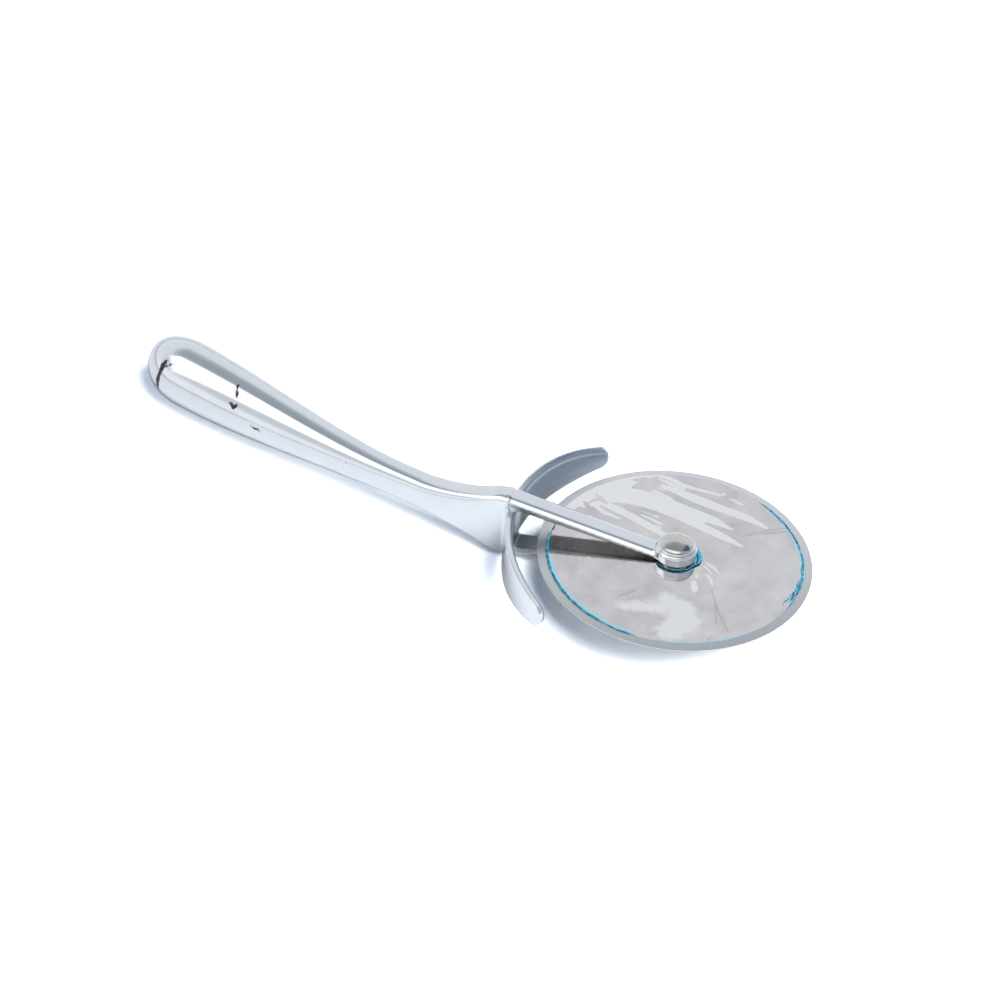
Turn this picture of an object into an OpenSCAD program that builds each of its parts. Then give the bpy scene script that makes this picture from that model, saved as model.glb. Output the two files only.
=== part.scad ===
// Pastry cutter wheel: a bevelled steel wheel on a riveted axle, held in the
// forked end of a one-piece cast handle with a curved finger guard.
// Millimetres. The origin is the hub centre on the wheel's mid-plane, +Z runs
// along the axle to the rivet's domed head, -X from the hub into the fork, and
// +Y towards the side the grip bends to.

/* [Wheel] */
// Diameter of the wheel over its cutting edge
wheel_d = 100; // [90:1:106]
// Thickness of the wheel's plate
wheel_t = 1.2; // [1:0.1:1.6]
// Width of the bevel ground on each face
bevel_w = 3; // [2:0.1:4]
// Thickness left at the cutting edge
edge_t = 0.2; // [0.1:0.05:0.4]
// Bare steel between the film's edge and the bevel
film_margin = 0.3; // [0.1:0.1:4]
// Thickness of the protective film on the upper face
film_t = 0.1; // [0.06:0.02:0.2]

/* [Hub] */
// Diameter of the rivet's shank
rivet_d = 5; // [4:0.1:5.4]
// Diameter of the rivet's domed head
head_d = 11.7; // [10:0.1:12.5]
// Height of the rivet's domed head
head_h = 1.7; // [1:0.1:2.5]
// Outside diameter of the washers under the rivet's head and tail
washer_d = 13.6; // [13:0.1:14]
// Thickness of the washers under the rivet's head and tail
washer_t = 0.8; // [0.5:0.1:1.2]
// Outside diameter of the sleeve the wheel turns on
sleeve_d = 7.4; // [7:0.1:8]
// Outside diameter of the two thrust washers
thrust_d = 11; // [10:0.1:13]
// Clearance left between neighbouring pieces
run_gap = 0.05; // [0.03:0.01:0.08]

/* [Fork] */
// Diameter of the boss at the end of each arm
boss_d = 15.2; // [14.5:0.1:16]
// Height of each boss along the axle
boss_h = 4.1; // [3.6:0.1:5]
// Gap between the wheel's face and each boss
boss_gap = 1.3; // [1.1:0.1:2]
// Width of the fork's arms
arm_w = 9; // [8:0.1:10.4]
// Thickness of each arm at the fork's root
arm_root_h = 4.1; // [3.5:0.1:4.5]
// Thickness of each arm at its boss
arm_tip_h = 1.8; // [1.5:0.1:3]
// Half of the fork's height at its root
root_half_h = 13.3; // [12.5:0.1:14]

/* [Guard] */
// Inside radius of the guard about the axle
guard_r = 59.3; // [57:0.1:62]
// Thickness of the guard
guard_t = 3.1; // [2:0.1:4]
// Angle from the fork's centre line to each tip of the guard
guard_angle = 52.5; // [40:0.5:60]
// Height of the guard where it leaves the fork's root
guard_root_h = 18; // [15:0.2:20]
// Height of the guard at its tips
guard_tip_h = 8; // [6:0.2:12]
// Radius of the fillets between the guard and the handle
guard_fillet = 5; // [2:0.5:6]

/* [Grip] */
// Angle the grip bends away from the fork's centre line
grip_bend = 20.6; // [0:0.2:30]
// Length of the grip behind the bend
grip_len = 132; // [110:1:145]
// Largest diameter of the grip
grip_d = 25.3; // [22:0.1:28]
// Width of the handle's neck, in the wheel's plane
neck_w = 10.2; // [9:0.1:12]
// Height of the handle's neck, along the axle
neck_h = 12.2; // [11:0.1:14]

/* [Hidden] */
$fn = 96;

wheel_r = wheel_d / 2;
flat_r = wheel_r - bevel_w;
face_z = wheel_t / 2;
boss_r = boss_d / 2;
boss_z = face_z + boss_gap;
boss_top = boss_z + boss_h;
boss_chamfer = 0.8;
shank_r = rivet_d / 2;
sleeve_r = sleeve_d / 2;
thrust_t = boss_gap - 2 * run_gap;
head_z = boss_top + washer_t + 2 * run_gap;
guard_out_r = guard_r + guard_t;
guard_corner = 1.8;
guard_steps = [0, 0.2, 0.4, 0.55, 0.7, 0.8, 0.9, 0.96, 0.98, 0.99, 1];
side_y = arm_w / 2;

// The handle's spine is a Bezier curve in the wheel's plane. It starts on the
// fork's centre line and ends at the grip's tip; t runs from 0 to 1 along it.
bend_lead = 30.7;
tip_turn = 2.8;
first_len = 0.62 * grip_len;
last_len = grip_len - first_len;
P0 = [-guard_out_r, 0];
P1 = P0 + [-bend_lead, 0];
P2 = P1 + first_len * [-cos(grip_bend), sin(grip_bend)];
P3 = P2 + last_len * [-cos(grip_bend + tip_turn), sin(grip_bend + tip_turn)];

// Landmarks along the spine: the neck's narrowest height, where the grip
// starts to swell in height, and where its rounded end begins.
neck_t = 0.28;
swell_t = 0.34;
end_t = 0.88;
flare_half_h = 15;
end_lean = 2;
root_power = 6;
sides = 32;

function spine(t) = pow(1 - t, 3) * P0 + 3 * t * pow(1 - t, 2) * P1
    + 3 * t * t * (1 - t) * P2 + pow(t, 3) * P3;
function heading(t) = (1 - t) * (1 - t) * (P1 - P0) + 2 * t * (1 - t) * (P2 - P1)
    + t * t * (P3 - P2);
function across(t) = [heading(t)[1], -heading(t)[0]] / norm(heading(t));

function limit(x) = max(0, min(1, x));
function ease(x) = limit(x) * limit(x) * (3 - 2 * limit(x));
function mix(a, b, x) = a + (b - a) * x;

// Half width and half height of the handle's section, before the rounded end.
function half_w(t) = t < neck_t
    ? mix(side_y, neck_w / 2, ease(t / neck_t))
    : mix(neck_w / 2, grip_d / 2, ease((t - neck_t) / (end_t - neck_t)));
function half_h(t) = t < neck_t
    ? min(root_half_h, mix(neck_h / 2, flare_half_h, pow(1 - t / neck_t, 1.5)))
    : mix(neck_h / 2, grip_d / 2, ease((t - swell_t) / (end_t - swell_t)));

// Power of the superellipse each section follows: 2 is an ellipse.
function power(t) = 2 + (root_power - 2) * pow(limit(1 - t / end_t), 3);
function signed_pow(v, p) = sign(v) * pow(abs(v), p);

// The rounded end: how far along it a section is, and its remaining size.
function end_part(t) = limit((t - end_t) / (1 - end_t));
function end_size(t) = sqrt(1 - pow(end_part(t), 2));

function section(t) = [for (i = [0:sides - 1])
    let (a = 360 * i / sides, p = 2 / power(t))
    let (w = half_w(t) * end_size(t) * signed_pow(cos(a), p))
    let (h = half_h(t) * end_size(t) * signed_pow(sin(a), p))
    let (c = spine(t) + (w + end_lean * pow(end_part(t), 2)) * across(t))
    [c[0], c[1], h]];
function middle(t) = let (c = spine(t) + end_lean * pow(end_part(t), 2) * across(t))
    [c[0], c[1], 0];

body_steps = [for (t = [0:0.02:end_t - 0.01]) t];
end_steps = [for (a = [0:10:80]) end_t + (1 - end_t) * sin(a)];
steps = concat(body_steps, end_steps);
rings = len(steps);

// Points of neighbouring sections are joined by pairs of triangles, and the
// first and last sections are closed by fans.
module grip() {
    points = concat([for (t = steps) each section(t)], [middle(0), middle(1)]);
    walls = [for (j = [0:rings - 2], i = [0:sides - 1])
        let (a = j * sides + i, b = j * sides + (i + 1) % sides)
        each [[a, b, a + sides], [b, b + sides, a + sides]]];
    front = [for (i = [0:sides - 1]) [i, rings * sides, (i + 1) % sides]];
    last = (rings - 1) * sides;
    back = [for (i = [0:sides - 1]) [last + i, last + (i + 1) % sides, rings * sides + 1]];
    polyhedron(points, concat(walls, front, back));
}

module boss() {
    translate([0, 0, boss_z]) cylinder(r = boss_r, h = boss_h - boss_chamfer);
    translate([0, 0, boss_top - boss_chamfer])
        cylinder(r1 = boss_r, r2 = boss_r - boss_chamfer, h = boss_chamfer);
}

module arm() {
    root = -guard_out_r - 1;
    rotate([90, 0, 0]) linear_extrude(arm_w, center = true)
        polygon([[-shank_r - 1, boss_z],
                 [-boss_r, boss_z],
                 [root, root_half_h - arm_root_h],
                 [root, root_half_h],
                 [-boss_r, boss_z + arm_tip_h],
                 [-shank_r - 1, boss_z + arm_tip_h]]);
}

// The fillet between one side of the handle and the guard's outer face.
module guard_fillet_plan() {
    y = side_y + guard_fillet;
    x = -sqrt(pow(guard_out_r + guard_fillet, 2) - y * y);
    touch = guard_out_r / (guard_out_r + guard_fillet);
    difference() {
        polygon([[-guard_r, 0], [x, 0], [x, y], [x * touch, y * touch]]);
        translate([x, y]) circle(r = guard_fillet);
    }
}

// The guard seen along the axle: a sector of a ring, blended into the handle.
module guard_plan() {
    reach = 2 * guard_out_r;
    difference() {
        union() {
            intersection() {
                circle(r = guard_out_r);
                polygon([[0, 0],
                         reach * [-cos(guard_angle), sin(guard_angle)],
                         [-reach, 0],
                         reach * [-cos(guard_angle), -sin(guard_angle)]]);
            }
            guard_fillet_plan();
            mirror([0, 1]) guard_fillet_plan();
        }
        circle(r = guard_r);
    }
}

// Half height of the guard, k of the way from its root to a tip. The tips'
// corners are rounded.
function corner_part(k) = limit(1 - (1 - k) * guard_angle * guard_out_r * PI / 180 / guard_corner);
function guard_half_h(k) = mix(guard_root_h, guard_tip_h, pow(k, 3)) / 2
    - guard_corner * (1 - sqrt(1 - pow(corner_part(k), 2)));

// One half of the guard seen along the fork, from its root to a tip.
module guard_side() {
    edge = [for (k = guard_steps) [guard_out_r * sin(k * guard_angle), guard_half_h(k)]];
    last = len(edge) - 1;
    polygon(concat(edge, [for (i = [last:-1:0]) [edge[i][0], -edge[i][1]]]));
}

module guard() {
    depth = guard_out_r * (1 - cos(guard_angle)) + 2 * guard_fillet;
    intersection() {
        translate([0, 0, -guard_root_h / 2]) linear_extrude(guard_root_h) guard_plan();
        translate([-guard_out_r - guard_fillet, 0, 0]) rotate([90, 0, 90])
            linear_extrude(depth) {
                guard_side();
                mirror([1, 0]) guard_side();
            }
    }
}

module handle_casting() {
    color("silver") difference() {
        union() {
            grip();
            guard();
            for (m = [0, 1]) mirror([0, 0, m]) {
                arm();
                boss();
            }
        }
        cylinder(r = shank_r + run_gap, h = 4 * boss_top, center = true);
    }
}

module cutting_wheel() {
    bore_r = sleeve_r + run_gap;
    color("gainsboro") rotate_extrude()
        polygon([[bore_r, -face_z], [flat_r, -face_z], [wheel_r, -edge_t / 2],
                 [wheel_r, edge_t / 2], [flat_r, face_z], [bore_r, face_z]]);
}

module tube(outer_r, inner_r, height) {
    difference() {
        cylinder(r = outer_r, h = height);
        translate([0, 0, -1]) cylinder(r = inner_r, h = height + 2);
    }
}

module protective_film() {
    color("lightblue") translate([0, 0, face_z])
        tube(flat_r - film_margin, thrust_d / 2 + 0.5, film_t);
}

// The sleeve keeps the arms apart when the rivet's tail is formed.
module spacer_sleeve() {
    color("gray") translate([0, 0, -boss_z + run_gap])
        tube(sleeve_r, shank_r + run_gap, 2 * (boss_z - run_gap));
}

module thrust_washer() {
    color("dimgray") translate([0, 0, face_z + run_gap])
        tube(thrust_d / 2, sleeve_r + run_gap, thrust_t);
}

module head_washer() {
    color("lightgray") translate([0, 0, boss_top + run_gap])
        tube(washer_d / 2, shank_r + run_gap, washer_t);
}

// A spherical cap whose flat side rests on the washer.
module rivet_dome() {
    dome_r = (head_d * head_d / 4 + head_h * head_h) / (2 * head_h);
    intersection() {
        translate([0, 0, head_z + head_h - dome_r]) sphere(r = dome_r);
        translate([0, 0, head_z]) cylinder(d = head_d, h = head_h + 1);
    }
}

module axle_rivet() {
    color("tan") union() {
        cylinder(r = shank_r, h = 2 * head_z + 0.2, center = true);
        rivet_dome();
        mirror([0, 0, 1]) rivet_dome();
    }
}

handle_casting();
cutting_wheel();
protective_film();
spacer_sleeve();
thrust_washer();  // upper_thrust_washer
mirror([0, 0, 1]) thrust_washer();  // lower_thrust_washer
axle_rivet();
head_washer();  // upper_head_washer
mirror([0, 0, 1]) head_washer();  // lower_tail_washer
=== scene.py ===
import math

import bpy
import numpy as np
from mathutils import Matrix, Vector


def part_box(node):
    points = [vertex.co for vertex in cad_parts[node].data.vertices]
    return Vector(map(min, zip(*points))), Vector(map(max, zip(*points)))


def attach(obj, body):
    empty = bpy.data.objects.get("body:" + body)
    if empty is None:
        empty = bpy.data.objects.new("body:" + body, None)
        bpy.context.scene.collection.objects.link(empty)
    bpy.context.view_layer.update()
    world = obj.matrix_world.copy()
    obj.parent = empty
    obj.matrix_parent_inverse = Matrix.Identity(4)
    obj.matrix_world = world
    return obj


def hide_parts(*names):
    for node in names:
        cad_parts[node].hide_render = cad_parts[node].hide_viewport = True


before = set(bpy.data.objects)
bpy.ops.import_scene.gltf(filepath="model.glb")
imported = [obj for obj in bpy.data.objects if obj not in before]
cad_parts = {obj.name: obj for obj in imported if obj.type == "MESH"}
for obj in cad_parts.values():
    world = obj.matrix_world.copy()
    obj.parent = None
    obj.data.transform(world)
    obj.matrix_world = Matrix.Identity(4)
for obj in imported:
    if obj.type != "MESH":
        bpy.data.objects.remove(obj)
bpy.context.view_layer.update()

import openvdb
from mathutils import Matrix, Vector

# A pastry cutter wheel. Lengths are in millimetres until a mesh is made, where MM turns them into metres.
# Only the lamp and the distances of Bump nodes are given in metres.
# The hub centre is the origin. +Z runs along the axle to the rivet's domed head.
# -X runs from the hub into the fork.
MM = 0.001
rng = np.random.default_rng(7)


def cad_size(node):
    """Outside radius, lowest and highest z of a round CAD node, in millimetres."""
    low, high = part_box(node)
    return high.x / MM, low.z / MM, high.z / MM


# The CAD wheel is a fine polygon, so a round one is made a hair smaller to stay inside its box.
POLYGON_ALLOWANCE = 0.01
WHEEL_R, _, FACE_Z = cad_size("cutting_wheel")
WHEEL_R -= POLYGON_ALLOWANCE
FILM_R, _, FILM_TOP = cad_size("protective_film")
WASHER_R, WASHER_LOW, WASHER_TOP = cad_size("upper_head_washer")
THRUST_R, _, _ = cad_size("upper_thrust_washer")
SLEEVE_R, _, _ = cad_size("spacer_sleeve")
RIVET_R, _, RIVET_TOP = cad_size("axle_rivet")
# Two CAD sizes that no outside box shows: the clearance between pieces, and the rivet's shank.
RUN_GAP = 0.05
SHANK_R = 2.5

# ---------------------------------------------------------------- mesh helpers


def new_piece(name, points, faces, material, body, normals=None):
    """A smooth mesh object from points in millimetres that rides on a body."""
    mesh = bpy.data.meshes.new(name)
    mesh.from_pydata((np.asarray(points, float) * MM).tolist(), [], [list(map(int, f)) for f in faces])
    mesh.materials.append(material)
    mesh.shade_smooth()
    if normals is not None:
        mesh.normals_split_custom_set_from_vertices(np.asarray(normals, float).tolist())
    piece = bpy.data.objects.new(name, mesh)
    bpy.context.scene.collection.objects.link(piece)
    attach(piece, body)
    return piece


def rounded_profile(corners, steps=4):
    """A closed outline in (radius, z). Each corner is (radius, z, corner radius) and becomes an arc."""
    outline = []
    count = len(corners)
    for i in range(count):
        here = np.array(corners[i][:2], float)
        before = np.array(corners[i - 1][:2], float) - here
        after = np.array(corners[(i + 1) % count][:2], float) - here
        size = corners[i][2]
        if size <= 0:
            outline.append(here)
            continue
        before /= np.linalg.norm(before)
        after /= np.linalg.norm(after)
        half = math.acos(np.clip(before @ after, -1, 1)) / 2
        start, end = here + before * size / math.tan(half), here + after * size / math.tan(half)
        middle = (before + after) / np.linalg.norm(before + after) * size / math.sin(half) + here
        a, b = start - middle, end - middle
        turn = math.acos(np.clip(a @ b / size**2, -1, 1))
        for k in range(steps + 1):
            u = k / steps
            mixed = (math.sin((1 - u) * turn) * a + math.sin(u * turn) * b) / math.sin(turn)
            outline.append(middle + mixed)
    return np.array(outline)


def outline_normals(outline):
    """Outward normals of a closed anticlockwise outline. Long sides count for more than short ones."""
    side = np.roll(outline, -1, 0) - outline
    turned = np.stack([side[:, 1], -side[:, 0]], 1)
    turned *= np.linalg.norm(side, axis=1)[:, None]
    both = turned + np.roll(turned, 1, 0)
    return both / np.linalg.norm(both, axis=1)[:, None]


def lathe(outline, segments=256):
    """Points, faces and normals of a closed outline turned about the Z axis. It may touch the axis."""
    outline = np.asarray(outline, float)
    normals = outline_normals(outline)
    angles = np.arange(segments) * 2 * math.pi / segments
    points, directions, rows = [], [], []
    for (r, z), (out, up) in zip(outline, normals):
        turns = angles if r > 1e-6 else [0.0]
        rows.append([len(points) + k % len(turns) for k in range(segments)])
        points += [(r * math.cos(a), r * math.sin(a), z) for a in turns]
        directions += [(out * math.cos(a), out * math.sin(a), up) for a in turns]
    faces = []
    for i in range(len(rows)):
        low, high = rows[i], rows[(i + 1) % len(rows)]
        for k in range(segments):
            n = (k + 1) % segments
            face = list(dict.fromkeys([low[k], low[n], high[n], high[k]]))
            if len(face) > 2:
                faces.append(face)
    return np.array(points), faces, np.array(directions)


# ---------------------------------------------------------------- casting, as a distance field

GUARD_R = 59.3
GUARD_T = 3.1
GUARD_OUT_R = GUARD_R + GUARD_T
GUARD_ANGLE = math.radians(52.5)
GUARD_ROOT_H = 18.0
GUARD_TIP_H = 8.0
GUARD_CORNER_R, GUARD_INNER_EDGE_R, GUARD_OUTER_EDGE_R = 2.6, 1.2, 0.45
# Where a guard wing meets the fork: a blend with a duller skin, darkened to blue-grey with painted shade.
FORK_CORNER = np.array([60.5, 5.5, 8.5])
ARM_W = 9.0
# Each arm ends inside its boss, at this x.
ARM_END = -4.0
ROOT_HALF_H = 13.05
ARM_ROOT_H = 4.1
ARM_TIP_H = 1.8
BOSS_R = 7.6
BOSS_LOW = 1.9
BOSS_TOP = WASHER_LOW - RUN_GAP
BOSS_CHAMFER, BOSS_EDGE_R = 0.8, 0.35
ARM_FILLET, GUARD_FILLET, BOSS_FILLET = 0.6, 1.8, 1.2
ARM_SHOULDER, SHOULDER_LEAN, SIDE_LEAN = 1.75, math.radians(30), math.radians(9)
BAR_EDGE_R = 0.4
GUARD_TOP_LEAN = math.radians(17)
NECK_W, NECK_H = 10.2, 12.2
GRIP_D = 25.3
GRIP_LEN, GRIP_BEND = 131.98, math.radians(20.6)
BEND_LEAD, TIP_TURN = 30.7, math.radians(2.8)
# Places along the spine, 0 to 1: the neck, the start of the swell in height, the start of the rounded end.
NECK_T, SWELL_T, END_T = 0.28, 0.34, 0.88
# From the root to here the section changes from a bar like the arms' to a superellipse.
SQUARE_T = 0.15
FLARE_HALF_H, END_LEAN, ROOT_POWER = 15.0, 2.0, 6.0
VOXEL = 0.5


def spine_points():
    """The four control points of the handle's spine, in the wheel's plane."""
    first = 0.62 * GRIP_LEN
    p0 = np.array([-GUARD_OUT_R, 0.0])
    p1 = p0 + [-BEND_LEAD, 0]
    p2 = p1 + first * np.array([-math.cos(GRIP_BEND), math.sin(GRIP_BEND)])
    turned = GRIP_BEND + TIP_TURN
    p3 = p2 + (GRIP_LEN - first) * np.array([-math.cos(turned), math.sin(turned)])
    return p0, p1, p2, p3


P0, P1, P2, P3 = spine_points()
# The spine is carried on a little past both ends.
SPINE_RANGE = (-0.3, 1.2)


def spine(t):
    t = t[:, None]
    return (1 - t)**3 * P0 + 3 * t * (1 - t)**2 * P1 + 3 * t * t * (1 - t) * P2 + t**3 * P3


def spine_slope(t):
    t = t[:, None]
    return 3 * ((1 - t)**2 * (P1 - P0) + 2 * t * (1 - t) * (P2 - P1) + t * t * (P3 - P2))


def spine_bend(t):
    t = t[:, None]
    return 6 * ((1 - t) * (P2 - 2 * P1 + P0) + t * (P3 - 2 * P2 + P1))


def nearest_on_spine(xy):
    """The spine parameter nearest to each point, by Newton steps from its place along the straight chord."""
    chord = P3 - P0
    t = np.clip((xy - P0) @ chord / (chord @ chord), *SPINE_RANGE)
    for _ in range(4):
        offset, slope = spine(t) - xy, spine_slope(t)
        first = (offset * slope).sum(1)
        second = (slope * slope).sum(1) + (offset * spine_bend(t)).sum(1)
        t = np.clip(t - first / np.maximum(second, 1.0), *SPINE_RANGE)
    return t


def ease(x):
    x = np.clip(x, 0, 1)
    return x * x * (3 - 2 * x)


def mix(a, b, x):
    return a + (b - a) * x


def half_width(t):
    neck = mix(ARM_W / 2, NECK_W / 2, ease(t / NECK_T))
    return np.where(t < NECK_T, neck, mix(NECK_W / 2, GRIP_D / 2, ease((t - NECK_T) / (END_T - NECK_T))))


def half_height(t):
    """Half the handle's height. Its flare towards the fork is cut off softly at the root's height."""
    rise = np.clip(1 - t / NECK_T, 0, 1) ** 1.5
    root = mix(NECK_H / 2, FLARE_HALF_H, rise)
    near = np.clip(0.5 + (ROOT_HALF_H - root) / 2, 0, 1)
    root = mix(ROOT_HALF_H, root, near) - near * (1 - near)
    return np.where(t < NECK_T, root, mix(NECK_H / 2, GRIP_D / 2, ease((t - SWELL_T) / (END_T - SWELL_T))))


def round_union(a, b, r):
    """The nearer of two distances, with a fillet of radius r in the corner between the two shapes."""
    u, v = np.maximum(r - a, 0), np.maximum(r - b, 0)
    return np.maximum(r, np.minimum(a, b)) - np.sqrt(u * u + v * v)


def round_cut(a, b, r):
    """The part inside both shapes, with the edge between their surfaces rounded to radius r."""
    return -round_union(-a, -b, r)


def rounded_box(q, r):
    """Distance to a box with rounded edges, from the distances to each pair of its sides."""
    q = q + np.reshape(r, (-1, 1))
    return np.linalg.norm(np.maximum(q, 0), axis=1) + np.minimum(q.max(1), 0) - r


def bar_section(across, height, half_w, lean):
    """A bar's section: flat on top, a sloping shoulder on each side, sides leaning in underneath.
    Distances are taken from the bar's middle and from its top."""
    across = np.abs(across)
    drop = ARM_SHOULDER * math.tan(SHOULDER_LEAN)
    shoulder = (across - half_w + ARM_SHOULDER) * math.sin(SHOULDER_LEAN) + height * math.cos(SHOULDER_LEAN)
    side = (across - half_w) * math.cos(lean) - np.minimum(height + drop, 0) * math.sin(lean)
    return round_cut(round_cut(height, shoulder, BAR_EDGE_R), side, BAR_EDGE_R)


def grip_field(p):
    """Distance to the neck and the grip: sections square to the spine, and a rounded end."""
    t = nearest_on_spine(p[:, :2])
    slope = spine_slope(t)
    length = np.linalg.norm(slope, axis=1)
    across = np.stack([slope[:, 1], -slope[:, 0]], 1) / length[:, None]
    end = np.maximum((t - END_T) / (1 - END_T), 0)
    u = ((p[:, :2] - spine(t)) * across).sum(1) - END_LEAN * np.minimum(end, 1) ** 2
    body_t = np.minimum(t, END_T + 0.1)
    w, h = half_width(body_t), half_height(body_t)
    n = 2 + (ROOT_POWER - 2) * np.clip(1 - t / END_T, 0, 1) ** 3
    uw, vh = np.abs(u) / w + 1e-9, np.abs(p[:, 2]) / h + 1e-9
    size = (uw**n + vh**n) ** (1 / n)
    steep = np.sqrt((size ** (1 - n) * uw ** (n - 1) / w) ** 2 + (size ** (1 - n) * vh ** (n - 1) / h) ** 2)
    side = (size - 1) / np.maximum(steep, 1e-6)
    side = mix(bar_section(u, np.abs(p[:, 2]) - h, w, 0.0), side, ease(t / SQUARE_T))
    full = np.sqrt(size**2 + end**2)
    end_len = (1 - END_T) * length
    cap_steep = np.sqrt((size * steep / full) ** 2 + (end / full / end_len) ** 2)
    cap = (full - 1) / np.maximum(cap_steep, 1e-6)
    d = np.where(end > 0, cap, side)
    return np.maximum(d, t * -length)


def guard_field(p):
    """A curved plate round the wheel. Its long edges slope down towards the wheel."""
    r = np.hypot(p[:, 0], p[:, 1])
    turn = np.abs(np.arctan2(p[:, 1], -p[:, 0]))
    k = np.clip(turn / GUARD_ANGLE, 0, 1)
    half_h = mix(GUARD_ROOT_H, GUARD_TIP_H, k**3) / 2
    above = np.abs(p[:, 2]) - half_h
    edge = above * math.cos(GUARD_TOP_LEAN) + (GUARD_OUT_R - r) * math.sin(GUARD_TOP_LEAN)
    rim = rounded_box(np.stack([(turn - GUARD_ANGLE) * r, edge], 1), GUARD_CORNER_R)
    return round_cut(round_cut(GUARD_R - r, rim, GUARD_INNER_EDGE_R), r - GUARD_OUT_R, GUARD_OUTER_EDGE_R)


def arm_field(p):
    """One arm of the fork and its mirror image below: a bar that tapers from the root to the boss."""
    root, tip = -GUARD_OUT_R - 1, -BOSS_R
    s = (p[:, 0] - root) / (tip - root)
    top = mix(ROOT_HALF_H, BOSS_LOW + ARM_TIP_H, s)
    bottom = mix(ROOT_HALF_H - ARM_ROOT_H, BOSS_LOW, s)
    z = np.abs(p[:, 2])
    bar = bar_section(p[:, 1], z - top, ARM_W / 2, SIDE_LEAN)
    bar = round_cut(bar, bottom - z, BAR_EDGE_R)
    return np.maximum(bar, np.maximum(root - p[:, 0], p[:, 0] - ARM_END))


def boss_field(p):
    r, z = np.hypot(p[:, 0], p[:, 1]), np.abs(p[:, 2])
    middle, half = (BOSS_TOP + BOSS_LOW) / 2, (BOSS_TOP - BOSS_LOW) / 2
    barrel = rounded_box(np.stack([r - BOSS_R, np.abs(z - middle) - half], 1), BOSS_EDGE_R)
    chamfer = ((r - BOSS_R) + (z - BOSS_TOP) + BOSS_CHAMFER) * math.sqrt(0.5)
    return np.maximum(barrel, chamfer)


def casting_field(p):
    """Distance to the one-piece casting: negative inside. The top and bottom halves are the same."""
    body = round_union(grip_field(p), arm_field(p), ARM_FILLET)
    body = round_union(body, guard_field(p), GUARD_FILLET)
    body = round_union(body, boss_field(p), BOSS_FILLET)
    bore = SHANK_R + RUN_GAP - np.hypot(p[:, 0], p[:, 1])
    return np.maximum(body, bore)


def field_gradient(field, p, step=0.05):
    out = np.empty_like(p)
    for axis in range(3):
        shift = np.zeros(3)
        shift[axis] = step
        out[:, axis] = (field(p + shift) - field(p - shift)) / (2 * step)
    return out


def mesh_from_field(field, low, high, block=8):
    """Quads on the zero surface of a distance field. Only voxel blocks near the surface are worked out."""
    low, high = np.asarray(low, float), np.asarray(high, float)
    band = 3 * VOXEL
    # More than half a block's diagonal, with a margin because the field is not an exact distance.
    block_reach = 1.35 * block * VOXEL
    blocks = np.ceil((high - low) / (VOXEL * block)).astype(int)
    values = np.full(blocks * block, band, np.float32)
    centres = (np.indices(blocks).reshape(3, -1).T + 0.5) * block - 0.5
    middle = field(low + centres * VOXEL)
    near = np.abs(middle) < block_reach
    inside = np.indices((block, block, block)).reshape(3, -1).T
    origins = (centres[near] - (block / 2 - 0.5)).round().astype(int)
    for part in np.array_split(origins, max(1, len(origins) // 300)):
        index = (part[:, None, :] + inside[None]).reshape(-1, 3)
        d = field(low + index * VOXEL)
        values[index[:, 0], index[:, 1], index[:, 2]] = np.clip(d, -band, band)
    deep = (centres[middle < -block_reach] - (block / 2 - 0.5)).round().astype(int)
    for x, y, z in deep:
        values[x:x + block, y:y + block, z:z + block] = -band
    grid = openvdb.FloatGrid(band)
    grid.copyFromArray(values)
    points, quads = grid.convertToQuads(0.0)
    points = low + np.asarray(points, float) * VOXEL
    for _ in range(3):
        slope = field_gradient(field, points)
        step = field(points) / np.maximum((slope**2).sum(1), 0.25)
        points -= slope * np.clip(step, -VOXEL, VOXEL)[:, None]
    return points, np.asarray(quads)


def near_strokes(points, strokes):
    """Distance to the nearest of some tapering strokes, negative inside.
    A stroke lists its points, each with its radius last."""
    nearest = np.full(len(points), 1e3)
    for stroke in strokes:
        stroke = np.array(stroke, float)
        for start, end in zip(stroke[:-1], stroke[1:]):
            run = end[:-1] - start[:-1]
            share = np.clip((points - start[:-1]) @ run / max(run @ run, 1e-9), 0, 1)
            gap = np.linalg.norm(points - start[:-1] - share[:, None] * run, axis=1)
            nearest = np.minimum(nearest, gap - mix(start[-1], end[-1], share))
    return nearest


def add_attribute(piece, name, values):
    layer = piece.data.attributes.new(name, "FLOAT", "POINT")
    layer.data.foreach_set("value", np.asarray(values, np.float32))


# Dark scuffs on the grip and small pits in the skin: points on the surface, each with its radius.
SCUFFS = [[(-205.2, 35.5, 8.4, 0.9), (-206.4, 34.2, 6.8, 1.3), (-207.0, 33.2, 4.2, 1.0),
           (-207.8, 32.8, 1.0, 1.2), (-207.9, 32.9, -2.0, 0.9), (-207.2, 33.2, -4.4, 0.2)],
          [(-206.0, 34.0, 6.4, 0.7), (-203.6, 33.6, 8.2, 0.5), (-201.4, 34.0, 9.4, 0.3)],
          [(-175.2, 27.8, 10.9, 0.7), (-175.0, 26.2, 10.2, 0.4), (-174.5, 24.6, 9.3, 0.7),
           (-174.2, 23.4, 8.6, 0.5)],
          [(-177.6, 22.4, 6.9, 0.2), (-176.0, 22.0, 6.3, 0.6), (-174.8, 21.0, 5.6, 0.9),
           (-173.4, 21.8, 6.3, 0.5)],
          [(-167.2, 17.2, 1.6, 0.5), (-165.2, 16.6, 1.2, 0.9), (-162.7, 16.2, 1.0, 0.5)]]
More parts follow.
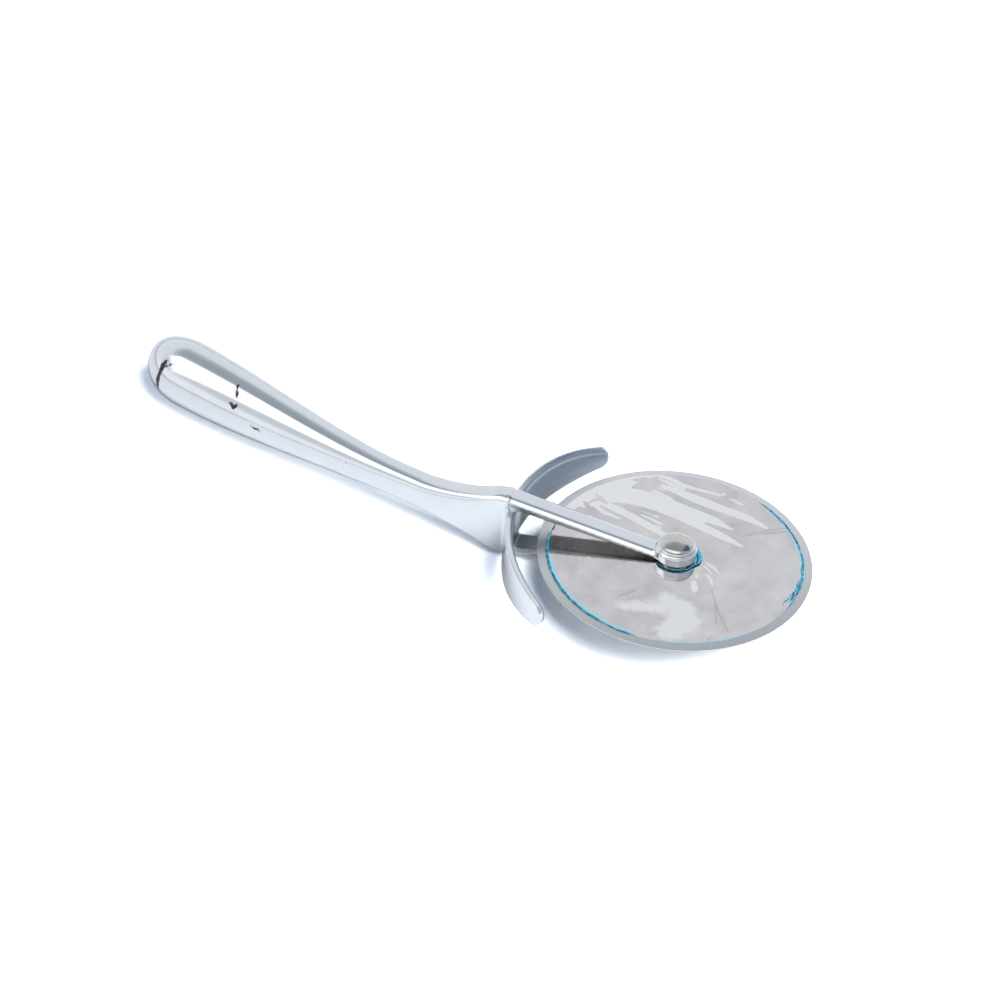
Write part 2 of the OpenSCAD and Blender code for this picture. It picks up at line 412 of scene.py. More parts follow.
PITS = [(-162.7, 34.3, 8.7, 0.4), (-126.8, 8.1, 2.4, 0.3), (-72.3, -4.0, 2.8, 0.25),
        (-45.5, -42.3, -4.7, 0.4), (-49.9, -36.9, -7.3, 0.4), (-37.7, 45.7, -4.0, 0.6),
        (-120.4, 6.8, 3.0, 0.2), (-96.0, 3.6, 1.0, 0.2)]


def mark_casting(piece, points, normals):
    """Attributes for the skin: scuffs and pits, and painted shade in the fork, on the guard's inside and on
    its inner edge.
    """
    add_attribute(piece, "scuff", near_strokes(points, SCUFFS + [[pit, pit] for pit in PITS]))
    # Painted shade: faces turned into the fork between the arms, and the arms' sides, are marked for a
    # darker, rougher skin.
    inward = -normals[:, 2] * np.sign(points[:, 2])
    on_arm = np.abs(points[:, 1]) < ARM_W / 2 + 0.1
    between_arms = on_arm & (points[:, 0] > -GUARD_OUT_R) & (points[:, 0] < -2)
    sideways = ease((0.75 - np.abs(normals[:, 2])) / 0.3) * ease((29 - np.abs(points[:, 0] + 35)) / 4)
    add_attribute(piece, "painted_fork_shade", np.clip(inward * 3 - 0.6 + sideways, 0, 0.9) * between_arms)
    radius = np.hypot(points[:, 0], points[:, 1])
    to_hub = -(normals[:, :2] * points[:, :2]).sum(1) / np.maximum(radius, 1)
    on_guard = (radius > GUARD_R - 1) & (radius < GUARD_OUT_R) & ~between_arms
    at_corner = np.linalg.norm(np.abs(points) - FORK_CORNER, axis=1)
    # Painted shade: the guard's inside and the corner where it meets the fork are marked for a darker
    # blue-grey, rougher skin.
    inside = np.maximum(ease((to_hub - 0.25) / 0.25) * on_guard, 0.7 * ease((4.5 - at_corner) / 2.5))
    add_attribute(piece, "guard_inside_shade", inside)
    inner_edge = ease((to_hub - 0.3) / 0.3) * ease((0.97 - to_hub) / 0.3)
    low_inside = ease(-points[:, 2] / 4) * ease((to_hub - 0.6) / 0.3)
    add_attribute(piece, "guard_shade", np.maximum(0.5 * inner_edge, 0.35 * low_inside) * on_guard)


def build_casting(material):
    low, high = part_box("handle_casting")
    margin = 2.0
    low, high = np.array(low) / MM - margin, np.array(high) / MM + margin
    points, quads = mesh_from_field(casting_field, low, high)
    normals = field_gradient(casting_field, points, 0.6 * VOXEL)
    normals /= np.linalg.norm(normals, axis=1)[:, None]
    piece = new_piece("cast_handle", points, quads, material, "handle", normals)
    mark_casting(piece, points, normals)
    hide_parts("handle_casting")


# ---------------------------------------------------------------- wheel, film and axle stack

BEVEL_W = 3.0
EDGE_T = 0.2
FLAT_R = WHEEL_R - BEVEL_W


def build_wheel(material):
    bore = SLEEVE_R + RUN_GAP
    corners = [(bore, -FACE_Z, 0.1), (FLAT_R, -FACE_Z, 1.6), (WHEEL_R, -EDGE_T / 2, 0.03),
               (WHEEL_R, EDGE_T / 2, 0.03), (FLAT_R, FACE_Z, 1.6), (bore, FACE_Z, 0.1)]
    points, faces, normals = lathe(rounded_profile(corners, 5), 720)
    piece = new_piece("bevelled_wheel", points, faces, material, "wheel", normals)
    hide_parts("cutting_wheel")


# Streaks where the film has come loose from the steel, in the wheel's plane: x, y and half width.
LOOSE = [[(-45.5, 8, 1.0), (-42.5, 17, 3.0), (-38, 26, 4.2), (-31, 31.5, 6.0), (-27, 37.5, 4.0),
          (-19, 43, 1.6)],
         [(-31, 27, 5.0), (-20, 28.5, 4.4), (-8, 26.8, 4.2), (0, 26.5, 2.6), (8, 25.0, 2.2),
          (16.4, 22.2, 0.4)],
         [(-27, 26, 2.6), (-14, 25.6, 2.2), (-4, 23.4, 2.4), (6, 19.8, 2.0), (14, 17.0, 1.8),
          (21.8, 14.1, 0.5)],
         [(-14.6, 38.2, 0.5), (-9, 36.9, 1.5), (0, 34.6, 2.2), (10, 32.4, 2.0), (20, 30.6, 1.8),
          (28, 27.6, 0.5)],
         [(-18, 43.6, 0.6), (-12, 42.8, 1.0), (-6, 40.6, 0.9), (7.4, 39.8, 0.5)],
         [(-16, 41.6, 0.4), (-11, 39.9, 0.8), (-6, 38.9, 0.4)],
         [(8.7, 41.6, 0.5), (8.9, 40.7, 0.6)],
         [(11.4, 39.2, 0.4), (16.4, 37.4, 0.6)],
         [(-17.6, 34.2, 0.6), (-13, 33.0, 0.8), (-8.6, 31.8, 0.4)],
         [(-17.4, 36.4, 0.4), (-12, 36.0, 0.5)],
         [(-38.5, 16.2, 0.8), (-33, 20.6, 1.4), (-26, 18.9, 1.8), (-17, 15.4, 1.7), (-6, 10.4, 1.4)],
         [(-35.5, 18.5, 0.8), (-30, 15.4, 1.0), (-24.4, 14.2, 0.5)],
         [(-17, 20.8, 0.3), (-11, 19.9, 0.5)],
         [(-17.2, 18.9, 0.4), (-13, 17.8, 0.7), (-9, 16.2, 0.5)],
         [(-11, 15.2, 0.4), (-8.4, 14.0, 0.4)],
         [(9.6, -11.4, 1.0), (10.6, -14.4, 1.3), (11.0, -16.4, 0.5)],
         [(11.6, 0.6, 0.5), (14.4, -0.8, 0.7), (17, -3.2, 0.3)],
         [(11.4, -1.4, 0.4), (14.6, -4.6, 0.4)],
         [(12.8, -5.4, 0.4), (15.0, -8.0, 0.6), (16.0, -10.2, 0.5)],
         [(9.6, -6.6, 0.3), (9.8, -8.2, 0.5)]]
# Patches inside those streaks where the film still holds.
HELD = [[(-24.6, 37.4, 0.6), (-20.6, 38.6, 2.0), (-16.6, 38.4, 2.0), (-18.4, 35.6, 2.4), (-18.0, 33.0, 0.8)],
        [(-35.6, 24.4, 0.6), (-33.4, 22.6, 1.3), (-31.0, 21.2, 0.7)],
        [(-39, 19.2, 0.4), (-36.6, 16.6, 1.0), (-33.6, 13.6, 0.9), (-30, 11.4, 0.6)]]
# Where the film is only partly loose, with a soft border.
HAZE = [[(2, -23, 3.0), (8, -27, 5.6), (11, -33, 6.0), (8, -40, 5.6)],
        [(3, -28, 3.4), (-6, -31, 3.2), (-12, -32.4, 2.4)]]
# Stretches of rim where the cut edge tints the film: start and end azimuth, radius, width and strength.
EDGE_TINTS = [(184, 268, 45.8, 0.7, 1.0), (276, 322, 46.2, 0.5, 0.6), (-20, 60, 45.9, 0.6, 0.8)]
# Creases in the film: x, y and half width.
CREASES = [[(21.5, 20.8, 0.1), (30, 25, 0.2), (38.5, 29.6, 0.1)], [(23, 22.6, 0.1), (36, 30.6, 0.15)],
           [(16.6, -13.5, 0.1), (22, -25, 0.2), (27, -33, 0.1)], [(19, -19, 0.1), (22.6, -31, 0.1)],
           [(-14.4, -28.4, 0.1), (-9, -22.6, 0.2)], [(22, -38.6, 0.15), (21.4, -40.6, 0.1)]]
# Spacing of the rows of points on the film's top: over most of it, and near its edge.
FILM_STEP, FILM_EDGE_STEP = 0.8, 0.35


def edge_tint(flat):
    """How strongly the film's blue shows at points near its cut edge, 0 to 1."""
    azimuth = np.degrees(np.arctan2(flat[:, 1], flat[:, 0]))
    radius = np.hypot(flat[:, 0], flat[:, 1])
    tint = np.zeros(len(flat))
    for start, end, middle, width, strength in EDGE_TINTS:
        along = (azimuth - start) % 360
        ends = ease(along / 10) * ease((end - start - along) / 10)
        tint = np.maximum(tint, strength * ends * np.exp(-((radius - middle) / width) ** 2))
    return tint


def build_film(material):
    inner, under = THRUST_R + 0.5, FACE_Z + 0.01
    corners = [(inner, under, 0.01), (FILM_R, under, 0.01),
               (FILM_R, FILM_TOP, 0.02), (inner, FILM_TOP, 0.02)]
    arc_steps = 3
    outline = rounded_profile(corners, arc_steps)
    edge_radii = [FILM_R - FILM_EDGE_STEP * k for k in range(1, 9)]
    radii = edge_radii + list(np.arange(edge_radii[-1] - FILM_STEP, inner + 0.3, -FILM_STEP))
    top_rows = [(r, FILM_TOP) for r in radii]
    last_corner = 3 * (arc_steps + 1)
    outline = np.vstack([outline[:last_corner], top_rows, outline[last_corner:]])
    points, faces, normals = lathe(outline, 400)
    piece = new_piece("protective_skin", points, faces, material, "wheel", normals)
    flat = points[:, :2]
    loose = np.maximum(near_strokes(flat, LOOSE), -near_strokes(flat, HELD))
    add_attribute(piece, "loose", loose)
    add_attribute(piece, "haze", near_strokes(flat, HAZE))
    add_attribute(piece, "crease", near_strokes(flat, CREASES))
    add_attribute(piece, "edge_tint", edge_tint(flat))
    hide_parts("protective_film")


def arc_angles(start, end, step=0.6):
    """Angles in radians from start to end, given in degrees."""
    return np.radians(np.linspace(start, end, max(3, int(abs(end - start) / step))))


def smooth_random(count, reach, size):
    """A smooth random curve of count samples, about size high, that wanders over reach samples."""
    raw = rng.normal(size=count + 4 * reach)
    window = np.hanning(2 * reach + 1)
    curve = np.convolve(raw, window / window.sum(), "same")[2 * reach:2 * reach + count]
    return curve / (np.abs(curve).max() + 1e-9) * size


def ribbon_tube(centres, widths, heights, sides=8):
    """Points and faces of a tube with elliptical sections, round a curve in the wheel's plane."""
    along = np.gradient(centres, axis=0)
    out = np.stack([along[:, 1], -along[:, 0], 0 * along[:, 0]], 1)
    out /= np.linalg.norm(out, axis=1)[:, None]
    turns = np.arange(sides) * 2 * math.pi / sides
    points = [c + o * w * math.cos(a) + np.array([0, 0, h * math.sin(a)])
              for c, o, w, h in zip(centres, out, widths, heights) for a in turns]
    faces = []
    for i in range(len(centres) - 1):
        for k in range(sides):
            n = (k + 1) % sides
            faces.append((i * sides + k, i * sides + n, (i + 1) * sides + n, (i + 1) * sides + k))
    faces.append(tuple(range(sides))[::-1])
    faces.append(tuple((len(centres) - 1) * sides + k for k in range(sides)))
    return np.array(points), faces


# Blue threads at the film's cut edge: start and end azimuth, inset from the edge, half width and waviness.
EDGE_THREADS = [(182, 266, 0.1, 0.3, 0.1), (186, 250, 0.5, 0.2, 0.15), (176, 190, 0.7, 0.25, 0.35),
                (172, 181, 1.3, 0.2, 0.4), (-18, 62, 0.1, 0.2, 0.12), (4, 58, 0.5, 0.16, 0.15),
                (-9, 14, 0.5, 0.32, 0.4), (-14, 5, 1.0, 0.32, 0.5), (-8, 4, 1.5, 0.32, 0.6),
                (-16, -7, 2.0, 0.32, 0.5)]


def build_film_edge(material):
    """The film's cut edge, curled up and frayed into blue threads along part of the rim."""
    points, faces = [], []

    def thread(start, end, radius, thick, wander):
        angles = arc_angles(start, end)
        count = len(angles)
        r = radius + smooth_random(count, 6, wander) + smooth_random(count, 2, wander * 0.4)
        fade = np.minimum(1, np.minimum(np.arange(count), np.arange(count)[::-1]) / 8 + 0.15)
        wide = (thick + smooth_random(count, 3, thick * 0.5)) * fade
        r = np.minimum(r, FILM_R + 0.35 - wide)
        centres = np.stack([r * np.cos(angles), r * np.sin(angles), FILM_TOP + 0.25 * wide], 1)
        new_points, new_faces = ribbon_tube(centres, wide, wide * 0.6)
        offset = sum(len(p) for p in points)
        points.append(new_points)
        faces.extend([tuple(i + offset for i in f) for f in new_faces])

    for start, end, inset, thick, wander in EDGE_THREADS:
        thread(start, end, FILM_R - inset, thick, wander)
    new_piece("film_edge_threads", np.vstack(points), faces, material, "wheel")


def build_film_collar(material):
    """Torn film standing up round the hub, in the gap under the boss."""
    angles = arc_angles(-135, 48, 1.2)
    count = len(angles)
    foot = BOSS_R + 0.25 + smooth_random(count, 4, 0.15)
    right = ease((np.degrees(angles) + 30) / 35)
    lean = 0.15 + 1.5 * right + smooth_random(count, 3, 0.2)
    rise = 0.72 + smooth_random(count, 2, 0.14)
    thick = 0.12
    points = []
    for a, r, out, up in zip(angles, foot, lean, rise):
        for u, v in ((0, 0), (out * 0.5, up * 0.5), (out, up), (out + thick, up - thick),
                     (out * 0.5 + thick, up * 0.4), (thick, 0)):
            points.append(((r + u) * math.cos(a), (r + u) * math.sin(a), FILM_TOP + 0.02 + v))
    ring = 6
    faces = [(i * ring + k, (i + 1) * ring + k, (i + 1) * ring + (k + 1) % ring, i * ring + (k + 1) % ring)
             for i in range(count - 1) for k in range(ring)]
    faces += [tuple(range(ring)), tuple((count - 1) * ring + k for k in range(ring))[::-1]]
    new_piece("torn_film_collar", points, faces, material, "wheel")


def build_rivet(material):
    """A shank with two heads. Each head is nearly flat in the middle and falls away steeply at its rim."""
    base = WASHER_TOP + RUN_GAP
    rim_h, dome_share = 0.35, 0.9
    crown = RIVET_TOP - base - rim_h
    reach = RIVET_R - 0.1
    radii = reach * np.sin(np.linspace(0, math.pi / 2, 40))
    share = radii / RIVET_R
    fall = crown * (dome_share * share**2 + (1 - dome_share) * share**12)
    head = list(zip(radii, RIVET_TOP - fall))
    head += [(RIVET_R, base + rim_h - 0.12), (RIVET_R, base + 0.08), (RIVET_R - 0.08, base), (SHANK_R, base)]
    outline = head + [(r, -z) for r, z in reversed(head)]
    points, faces, normals = lathe(outline[::-1], 192)
    piece = new_piece("domed_rivet", points, faces, material, "handle", normals)
    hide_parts("axle_rivet")


def build_washer(name, node, material):
    _, low, high = cad_size(node)
    hole = SHANK_R + RUN_GAP
    corners = [(hole, low, 0.08), (WASHER_R, low, 0.22), (WASHER_R, high, 0.3), (hole, high, 0.08)]
    points, faces, normals = lathe(rounded_profile(corners, 6), 192)
    piece = new_piece(name, points, faces, material, "handle", normals)
    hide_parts(node)


# ---------------------------------------------------------------- materials


class Shader:
    """A node material or world, with short calls to add nodes."""

    def __init__(self, owner):
        owner.use_nodes = True
        self.tree = owner.node_tree
        self.tree.nodes.clear()

    def add(self, kind, **values):
        node = self.tree.nodes.new("ShaderNode" + kind)
        for key, value in values.items():
            if hasattr(node, key):
                setattr(node, key, value)
            else:
                self.put(value, node.inputs[key.replace("_", " ")])
        return node

    def put(self, value, socket):
        if isinstance(value, bpy.types.NodeSocket):
            self.tree.links.new(value, socket)
        elif isinstance(value, (tuple, list)) and len(socket.default_value) == 4 and len(value) == 3:
            socket.default_value = (*value, 1)
        else:
            socket.default_value = value

    def math(self, operation, a, b=0.0, c=0.0, clamp=False):
        node = self.add("Math", operation=operation, use_clamp=clamp)
        for socket, value in zip(node.inputs, (a, b, c)):
            self.put(value, socket)
        return node.outputs[0]

    def ramp(self, value, stops, smooth=False):
        """Colours at positions along 0 to 1."""
        node = self.add("ValToRGB")
        self.put(value, node.inputs[0])
        node.color_ramp.interpolation = "EASE" if smooth else "LINEAR"
        elements = node.color_ramp.elements
        while len(elements) < len(stops):
            elements.new(0.5)
        for element, (position, colour) in zip(elements, stops):
            element.position = position
            element.color = (*colour, 1) if len(colour) == 3 else colour
        return node.outputs[0]

    def step(self, value, low, high, start=0.0, end=1.0):
        """start below low, end above high, smooth in between."""
        node = self.add("MapRange", interpolation_type="SMOOTHSTEP")
        for socket, number in zip(node.inputs, (value, low, high, start, end)):
            self.put(number, socket)
        return node.outputs[0]

    def blend(self, factor, a, b):
        """Colour a where factor is 0, b where it is 1."""
        node = self.add("Mix", data_type="RGBA")
        self.put(factor, node.inputs[0])
        self.put(a, node.inputs[6])
        self.put(b, node.inputs[7])
        return node.outputs[2]

    def noise(self, vector, scale, detail=2.0, roughness=0.5):
        node = self.add("TexNoise", noise_dimensions="3D")
        self.put(vector, node.inputs["Vector"])
        settings = {"Scale": scale, "Detail": detail, "Roughness": roughness}
        for key, value in settings.items():
            self.put(value, node.inputs[key])
        return node.outputs[0]

    def bump(self, height, strength, distance, normal=None):
        node = self.add("Bump")
        self.put(height, node.inputs["Height"])
        self.put(strength, node.inputs["Strength"])
        self.put(distance, node.inputs["Distance"])
        if normal is not None:
            self.put(normal, node.inputs["Normal"])
        return node.outputs[0]

    def millimetres(self, stretch=(1, 1, 1)):
        """Object coordinates in millimetres, each axis times stretch."""
        node = self.add("VectorMath", operation="MULTIPLY")
        self.put(self.add("TexCoord").outputs["Object"], node.inputs[0])
        self.put(tuple(s / MM for s in stretch), node.inputs[1])
        return node.outputs[0]

    def attribute(self, name):
        return self.add("Attribute", attribute_name=name).outputs["Fac"]

    def near_point(self, vector, centre, inner, outer):
        """1 within inner millimetres of a point, 0 beyond outer."""
        node = self.add("VectorMath", operation="DISTANCE")
        self.put(vector, node.inputs[0])
        self.put(tuple(centre), node.inputs[1])
        return self.step(node.outputs["Value"], inner, outer, 1.0, 0.0)


def metal(name, colour, roughness):
    """A new material with a metallic Principled shader: the material, its Shader and the Principled node."""
    material = bpy.data.materials.new(name)
    shader = Shader(material)
    surface = shader.add("BsdfPrincipled", Metallic=1.0)
    shader.put(colour, surface.inputs["Base Color"])
    shader.put(roughness, surface.inputs["Roughness"])
    shader.add("OutputMaterial", Surface=surface.outputs[0])
    return material, shader, surface


def cast_alloy():
    """Tumbled cast aluminium: a satin skin with scuffs and pits. The fork's inside and the arms' sides are
    rough and darkened with painted shade. The guard's inside is duller and darker blue-grey, painted shade."""
    material, s, surface = metal("cast_alloy", (0.8, 0.8, 0.8), 0.14)
    at = s.millimetres()
    cloud = s.noise(at, 0.09, 3, 0.6)
    grain = s.noise(at, 1.4, 4, 0.65)
    polished = s.ramp(cloud, [(0.3, (0.79, 0.805, 0.82)), (0.7, (0.83, 0.84, 0.85))])
    # Painted shade: the marked inside of the fork and the arms' sides turn dark, and also rougher.
    raw = s.attribute("painted_fork_shade")
    skin = s.blend(raw, polished, s.ramp(grain, [(0.35, (0.17, 0.165, 0.16)), (0.7, (0.36, 0.35, 0.34))]))
    ragged = s.math("MULTIPLY_ADD", s.noise(at, 1.6, 4, 0.7), 2.0, s.attribute("scuff"))
    scuffed = s.step(ragged, 0.86, 1.06, 1.0, 0.0)
    # Painted shade: where marked, the skin turns darker blue-grey, and it is also rougher.
    inside = s.attribute("guard_inside_shade")
    skin = s.blend(inside, skin, s.ramp(grain, [(0.35, (0.64, 0.72, 0.80)), (0.7, (0.74, 0.81, 0.88))]))
    skin = s.blend(s.attribute("guard_shade"), skin, (0.02, 0.03, 0.05))
    s.put(s.blend(scuffed, skin, (0.018, 0.018, 0.035)), surface.inputs["Base Color"])
    s.put(s.math("SUBTRACT", 1.0, scuffed), surface.inputs["Metallic"])
    rough = s.math("MULTIPLY_ADD", raw, 0.25, s.step(cloud, 0.3, 0.75, 0.09, 0.13))
    rough = s.math("MULTIPLY_ADD", inside, 0.36, rough)
    s.put(s.math("MULTIPLY_ADD", scuffed, 0.3, rough), surface.inputs["Roughness"])
    waves = s.bump(s.noise(at, 0.10, 2, 0.5), 0.05, 0.0004)
    dents = s.bump(s.step(ragged, 0.6, 1.1), 0.3, 0.0001, waves)
    s.put(s.bump(grain, 0.10, 0.00003, dents), surface.inputs["Normal"])
    return material


def blade_steel():
    """Sheet steel, with fine grinding lines that run round the bevel."""
    material, s, surface = metal("blade_steel", (0.8, 0.79, 0.78), 0.2)
    at = s.millimetres()
    radius = s.add("VectorMath", operation="LENGTH")
    s.put(s.millimetres((1, 1, 0)), radius.inputs[0])
    rings = s.add("CombineXYZ")
    s.put(s.math("MULTIPLY", radius.outputs["Value"], 14.0), rings.inputs[0])
    s.put(s.noise(at, 0.15, 2), rings.inputs[1])
    lines = s.noise(rings.outputs[0], 1.0, 3, 0.6)
    colour = s.ramp(lines, [(0.3, (0.70, 0.69, 0.68)), (0.7, (0.84, 0.83, 0.82))])
    s.put(colour, surface.inputs["Base Color"])
    s.put(s.step(lines, 0.3, 0.7, 0.32, 0.44), surface.inputs["Roughness"])
    s.put(s.bump(lines, 0.15, 0.00003), surface.inputs["Normal"])
    return material


def film_skin():
    """Steel seen through its clear film: greyer where the film holds, brighter where it is loose."""
    material, s, surface = metal("film_over_steel", (0.66, 0.66, 0.69), 0.1)
    at = s.millimetres()
    patch = s.noise(at, 0.07, 4, 0.6)
    fine = s.noise(at, 0.9, 3, 0.6)
    held = s.ramp(patch, [(0.32, (0.60, 0.575, 0.59)), (0.5, (0.70, 0.665, 0.66)),
                          (0.68, (0.80, 0.765, 0.74))])
    edge = s.math("MULTIPLY_ADD", s.noise(at, 0.7, 3, 0.6), 0.9, s.attribute("loose"))
    soft_edge = s.math("MULTIPLY_ADD", s.noise(at, 0.3, 4, 0.7), 7.0, s.attribute("haze"))
    loose = s.math("MAXIMUM", s.step(edge, 0.35, 0.6, 1.0, 0.0), s.step(soft_edge, 1.0, 5.0, 0.9, 0.0))
    colour = s.blend(loose, held, s.ramp(fine, [(0.3, (0.93, 0.905, 0.88)), (0.7, (0.98, 0.95, 0.92))]))
    # Painted shade: the film turns darker along its creases. The same mask makes the creases dip in the
    # bump.
    crease = s.step(s.attribute("crease"), 0.0, 0.45, 0.35, 0.0)
    # Painted highlight: the film turns lighter within 20 millimetres of a point right of the hub.
    glow = s.near_point(at, (36, 8, 0.7), 2.0, 20.0)
    colour = s.blend(s.math("MULTIPLY", glow, 0.5), colour, (0.80, 0.78, 0.79))
    tint = s.math("MULTIPLY", s.attribute("edge_tint"), s.step(s.noise(at, 0.5, 3, 0.6), 0.3, 0.5, 0.5, 1.0))
    colour = s.blend(tint, colour, (0.34, 0.82, 0.93))
    s.put(s.blend(crease, colour, (0.35, 0.34, 0.37)), surface.inputs["Base Color"])
    rough = s.math("MULTIPLY_ADD", loose, 0.08, s.step(fine, 0.3, 0.7, 0.06, 0.12))
    s.put(rough, surface.inputs["Roughness"])
    s.put(0.5, surface.inputs["Coat Weight"])
    s.put(0.05, surface.inputs["Coat Roughness"])
    ripple = s.bump(s.noise(at, 0.08, 2, 0.5), 0.3, 0.0002)
    s.put(s.bump(s.math("MULTIPLY", crease, -1.0), 0.5, 0.0001, ripple), surface.inputs["Normal"])
    return material


def film_blue():
    """The film's blue, seen where it is folded or edge-on: from pale cyan to dark teal, with painted
    highlight and shade.
    """
    material, s, surface = metal("film_blue", (0.05, 0.4, 0.55), 0.25)
    at = s.millimetres()
    tint = s.noise(at, 0.55, 3, 0.7)
    stops = [(0.30, (0.0, 0.06, 0.12)), (0.45, (0.008, 0.17, 0.26)),
             (0.56, (0.02, 0.30, 0.42)), (0.7, (0.3, 0.68, 0.78))]
    # Painted highlight: the blue turns bright cyan near a point right of the hub.
    bright = s.near_point(at, (11, 2, 1), 2.0, 10.0)
    # Painted shade: the blue turns dark near a point in front of the hub.
    shaded = s.near_point(at, (-4, -8, 1), 3.0, 11.0)
    colour = s.blend(s.math("MULTIPLY", bright, 0.5), s.ramp(tint, stops), (0.02, 0.62, 0.85))
    colour = s.blend(s.math("MULTIPLY", shaded, 0.5), colour, (0.0, 0.10, 0.17))
    s.put(colour, surface.inputs["Base Color"])
    s.put(0.0, surface.inputs["Metallic"])
    s.put(s.bump(s.noise(at, 2.5, 2), 0.3, 0.0001), surface.inputs["Normal"])
    return material


def turned_steel(name, dark, light, roughness):
    """Small steel parts, with soft smudges and a faint grain in the bump."""
    material, s, surface = metal(name, light, roughness)
    at = s.millimetres()
    smudge = s.noise(at, 0.35, 4, 0.6)
    s.put(s.ramp(smudge, [(0.3, dark), (0.65, light)]), surface.inputs["Base Color"])
    s.put(s.step(smudge, 0.3, 0.7, roughness * 1.5, roughness * 0.8), surface.inputs["Roughness"])
    s.put(s.bump(s.noise(at, 3.0, 3), 0.08, 0.00002), surface.inputs["Normal"])
    return material


# ---------------------------------------------------------------- stage, light and camera

# The floor's upward direction, how far it passes from the hub, and half its side.
FLOOR_NORMAL = np.array([-0.039, -0.157, 0.987])
FLOOR_DROP = 11.41
FLOOR_REACH = 4000.0
# The camera: its direction and roll seen from the hub, and its distance.
VIEW_AZ, VIEW_EL, VIEW_ROLL = map(math.radians, (11.8, 39.59, 5.34))
DISTANCE = 1500.0
# At that distance, the width the picture takes in and the hub's place right of and below its middle.
VIEW_WIDTH = 361.33
HUB_RIGHT, HUB_DOWN = 63.23, 21.14


def build_floor():
    """A plane under the resting tool. It touches the casting at three points. The near rim is raised."""
    normal = FLOOR_NORMAL / np.linalg.norm(FLOOR_NORMAL)
    right = np.cross([0, 1, 0], normal)
    right /= np.linalg.norm(right)
    ahead = np.cross(normal, right)
    centre = -normal * FLOOR_DROP
    signs = ((-1, -1), (1, -1), (1, 1), (-1, 1))
    corners = [centre + FLOOR_REACH * (a * right + b * ahead) for a, b in signs]
    mesh = bpy.data.meshes.new("floor")
    mesh.from_pydata((np.array(corners) * MM).tolist(), [], [(0, 1, 2, 3)])
    floor = bpy.data.objects.new("floor", mesh)
    bpy.context.scene.collection.objects.link(floor)
    mesh.materials.append(floor_paper())


def floor_paper():
    """White paper, overexposed for the camera only, with a faint glow that lifts the handle's shadow.
    Seen from below it is clear, so that the tool's underside can be looked at."""
    material = bpy.data.materials.new("floor_paper")
    s = Shader(material)
    path = s.add("LightPath").outputs
    seen = path["Is Camera Ray"]
    along = s.add("SeparateXYZ", Vector=s.millimetres()).outputs[0]
    paper = s.blend(seen, (0.88, 0.88, 0.88), (2.0, 2.0, 2.0))
    diffuse = s.add("BsdfDiffuse", Color=paper)
    glow = s.math("MULTIPLY", seen, s.step(along, -150.0, -40.0, 0.36, 0.0))
    lifted = s.add("AddShader")
    s.put(diffuse.outputs[0], lifted.inputs[0])
    s.put(s.add("Emission", Strength=glow).outputs[0], lifted.inputs[1])
    clear = s.add("BsdfTransparent")
    from_below = s.math("MULTIPLY", seen, s.add("NewGeometry").outputs["Backfacing"])
    from_below = s.math("ADD", from_below, path["Transparent Depth"], clamp=True)
    surface = s.add("MixShader", Fac=from_below)
    s.put(lifted.outputs[0], surface.inputs[1])
    s.put(clear.outputs[0], surface.inputs[2])
    s.add("OutputMaterial", Surface=surface.outputs[0])
    return material


def build_world():
    """What the metal mirrors: an overhead softbox, a pale blue-grey room beyond it and a bright near side.
    Below the horizon it is the same again, for views from underneath."""
    world = bpy.data.worlds.new("studio")
    bpy.context.scene.world = world
    s = Shader(world)
    direction = s.add("SeparateXYZ", Vector=s.add("TexCoord").outputs["Generated"])
    x, y, z = direction.outputs
    height = s.math("ABSOLUTE", z)
    far = s.ramp(height, [(0.0, (0.86, 0.90, 0.97)), (0.4, (0.80, 0.84, 0.90)), (0.67, (0.77, 0.81, 0.86)),
                          (0.73, (0.55, 0.61, 0.67)), (0.82, (0.37, 0.43, 0.49)), (1.0, (0.31, 0.36, 0.41))])
    near = s.ramp(height, [(0.0, (0.95, 0.97, 1.0)), (0.2, (0.94, 0.96, 0.99)), (0.33, (0.66, 0.72, 0.78)),
                           (1.0, (0.62, 0.68, 0.74))])
    room = s.blend(s.step(y, -0.1, 0.25), near, far)
    room = s.blend(s.step(x, 0.35, 0.55), room, (0.50, 0.56, 0.64))
    corner = s.math("MULTIPLY", s.step(x, 0.16, 0.29), s.step(y, 0.2, 0.35))
    corner = s.math("MULTIPLY", corner, s.step(z, 0.6, 0.7))
    room = s.blend(corner, room, (0.10, 0.14, 0.24))
    across = s.math("MULTIPLY", s.step(y, -0.57, -0.50), s.step(y, 0.06, 0.12, 1.0, 0.0))
    along = s.math("MULTIPLY", s.step(x, -0.85, -0.72), s.step(x, 0.18, 0.3, 1.0, 0.0))
    above = s.math("MULTIPLY", s.math("MULTIPLY", across, along), s.step(height, 0.0, 0.2))
    room = s.blend(above, room, (1.5, 1.5, 1.5))
    path = s.add("LightPath").outputs
    after_paper = s.math("MINIMUM", path["Diffuse Depth"], 1.0)
    lit = s.blend(after_paper, room, (0.010, 0.045, 0.11))
    seen = s.blend(path["Is Camera Ray"], lit, (1.05, 1.05, 1.05))
    background = s.add("Background", Color=seen)
    s.add("OutputWorld", Surface=background.outputs[0])
    world.cycles.sampling_method = "NONE"


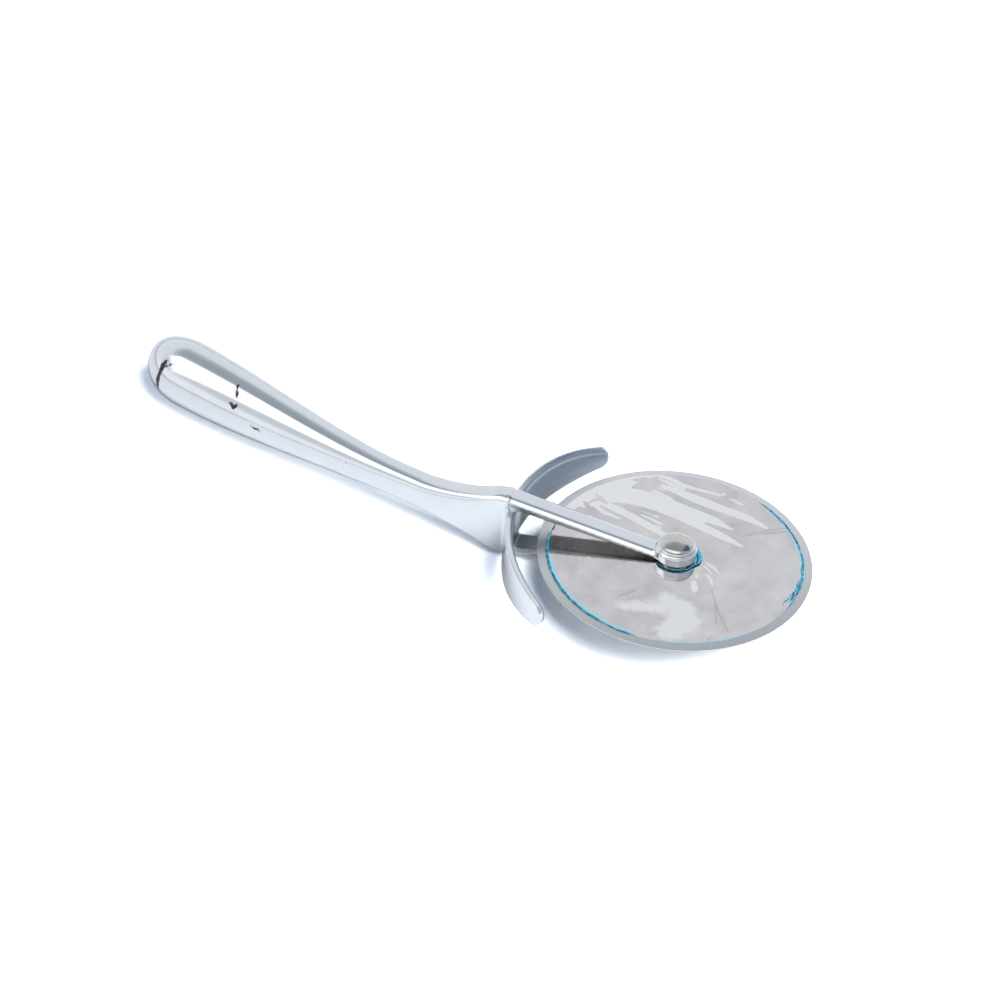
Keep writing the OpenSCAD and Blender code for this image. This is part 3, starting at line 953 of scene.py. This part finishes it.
def build_softbox():
    """The overhead light as the paper and the film's haze receive it. The world shows it to the metal."""
    place, side = Vector((0.6, -0.48, 1.2)), 1.0
    data = bpy.data.lights.new("softbox", "AREA")
    data.shape = "SQUARE"
    data.size = side
    data.energy = 33.0
    data.color = (0.955, 0.985, 1.02)
    lamp = bpy.data.objects.new("softbox", data)
    lamp.location = place
    lamp.rotation_euler = place.to_track_quat("Z", "Y").to_euler()
    lamp.visible_glossy = False
    lamp.visible_camera = False
    bpy.context.scene.collection.objects.link(lamp)


def build_camera():
    az, el, roll = VIEW_AZ, VIEW_EL, VIEW_ROLL
    back = Vector((math.sin(az) * math.cos(el), -math.cos(az) * math.cos(el), math.sin(el)))
    right = Vector((math.cos(az), math.sin(az), 0))
    up = back.cross(right)
    rolled_right = right * math.cos(roll) + up * math.sin(roll)
    rolled_up = up * math.cos(roll) - right * math.sin(roll)
    data = bpy.data.cameras.new("camera")
    camera = bpy.data.objects.new("camera", data)
    bpy.context.scene.collection.objects.link(camera)
    data.sensor_width = 36.0
    data.lens = DISTANCE / VIEW_WIDTH * data.sensor_width
    place = back * DISTANCE - rolled_right * HUB_RIGHT + rolled_up * HUB_DOWN
    turn = Matrix((rolled_right, rolled_up, back)).transposed().to_4x4()
    camera.matrix_world = Matrix.Translation(place * MM) @ turn
    data.clip_start, data.clip_end = 0.05, 20.0
    bpy.context.scene.camera = camera


# ---------------------------------------------------------------- the scene

washer_material = turned_steel("washer_steel", (0.76, 0.75, 0.73), (0.84, 0.83, 0.81), 0.14)
sleeve_material = turned_steel("sleeve_steel", (0.45, 0.45, 0.45), (0.62, 0.62, 0.62), 0.3)
film_material = film_blue()
build_casting(cast_alloy())
build_wheel(blade_steel())
build_film(film_skin())
build_film_edge(film_material)
build_film_collar(film_material)
build_rivet(turned_steel("rivet_steel", (0.60, 0.58, 0.52), (0.70, 0.68, 0.62), 0.08))
build_washer("head_washer", "upper_head_washer", washer_material)
build_washer("tail_washer", "lower_tail_washer", washer_material)
for node, hidden_material in (("spacer_sleeve", sleeve_material), ("upper_thrust_washer", washer_material),
                              ("lower_thrust_washer", washer_material)):
    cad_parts[node].data.materials.clear()
    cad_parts[node].data.materials.append(hidden_material)

build_floor()
build_world()
build_softbox()
build_camera()
bpy.context.scene.view_settings.view_transform = "Standard"
